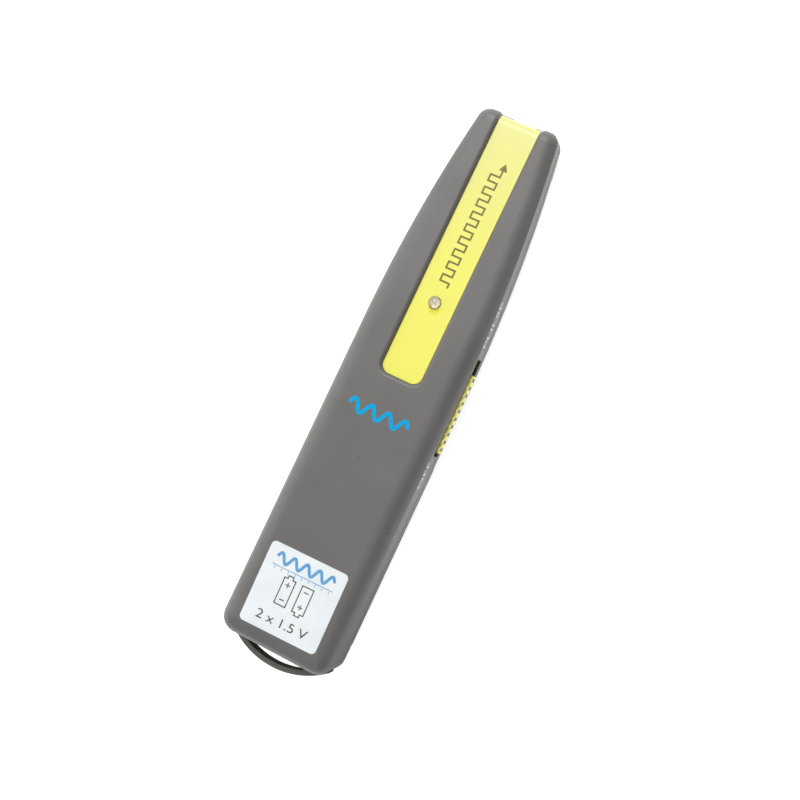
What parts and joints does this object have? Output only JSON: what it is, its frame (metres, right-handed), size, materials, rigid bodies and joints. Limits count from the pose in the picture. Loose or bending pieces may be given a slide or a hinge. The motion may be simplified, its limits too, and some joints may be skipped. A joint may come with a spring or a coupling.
{
  "type": "fibre optic tester",
  "caption": "Hand-held pocket tester with a tapered grey moulded case, a yellow inlay over the nose with an indicator lamp, a ribbed side slide switch, a fibre port and a strap loop.",
  "frame": {"origin": "on the flat back face, at the middle of the housing's length and width", "axes": "+Z out of the front face, +Y towards the nose with the port, +X towards the slide switch"},
  "size_m": [0.0308, 0.1458, 0.019],
  "materials": {
    "housing_grey": "fine moulded texture, satin",
    "inlay_yellow": "smooth moulded",
    "knob_yellow": "smooth moulded",
    "loop_dark": "satin",
    "label_white": "satin film sticker",
    "lamp_clear": "clear epoxy",
    "lead_tin": "tinned",
    "switch_case": "moulded",
    "lever_white": "moulded",
    "board_green": "solder mask",
    "chip_black": "moulded",
    "capacitor_can": "sleeved can",
    "cell_sleeve": "printed sleeve",
    "contact_nickel": "nickel plated",
    "screw_steel": "zinc plated",
    "port_nickel": "nickel plated",
    "barrel_brass": "turned",
    "sleeve_ceramic": "ground zirconia",
    "lens_glass": "polished",
    "diode_gold": "gold plated",
    "wire_red": "insulated",
    "wire_black": "insulated"
  },
  "bodies": {
    "housing": {"front_shell": "housing_grey", "back_shell": "housing_grey", "accent_strip": "inlay_yellow", "indicator_led": "lamp_clear", "led_leads": "lead_tin", "switch_body": "switch_case", "switch_pins": "lead_tin", "circuit_board": "board_green", "driver_chip": "chip_black", "chip_pins": "lead_tin", "resistors": "chip_black", "capacitor": "capacitor_can", "battery_cell_left": "cell_sleeve", "battery_cell_right": "cell_sleeve", "positive_contact": "contact_nickel", "negative_contact": "contact_nickel", "bridge_contact": "contact_nickel", "housing_screws": "screw_steel", "port_adapter": "port_nickel", "ferrule_sleeve": "sleeve_ceramic", "source_barrel": "barrel_brass", "focus_lens": "lens_glass", "lens_spacer": "barrel_brass", "laser_diode": "diode_gold", "diode_pins": "lead_tin", "positive_wire": "wire_red", "negative_wire": "wire_black", "strap_loop": "loop_dark", "front_label": "label_white"},
    "slider": {"switch_knob": "knob_yellow", "switch_lever": "lever_white"},
    "cover": {"battery_cover": "housing_grey"}
  },
  "joints": [
    {"name": "switch_slide", "type": "slide", "parent": "housing", "child": "slider", "axis": [0, 1, 0], "range_m": [0, 0.004]},
    {"name": "cover_tilt", "type": "hinge", "parent": "housing", "child": "cover", "pos_m": [0, -0.0148, 0], "axis": [1, 0, 0], "range_deg": [0, 60]}
  ]
}
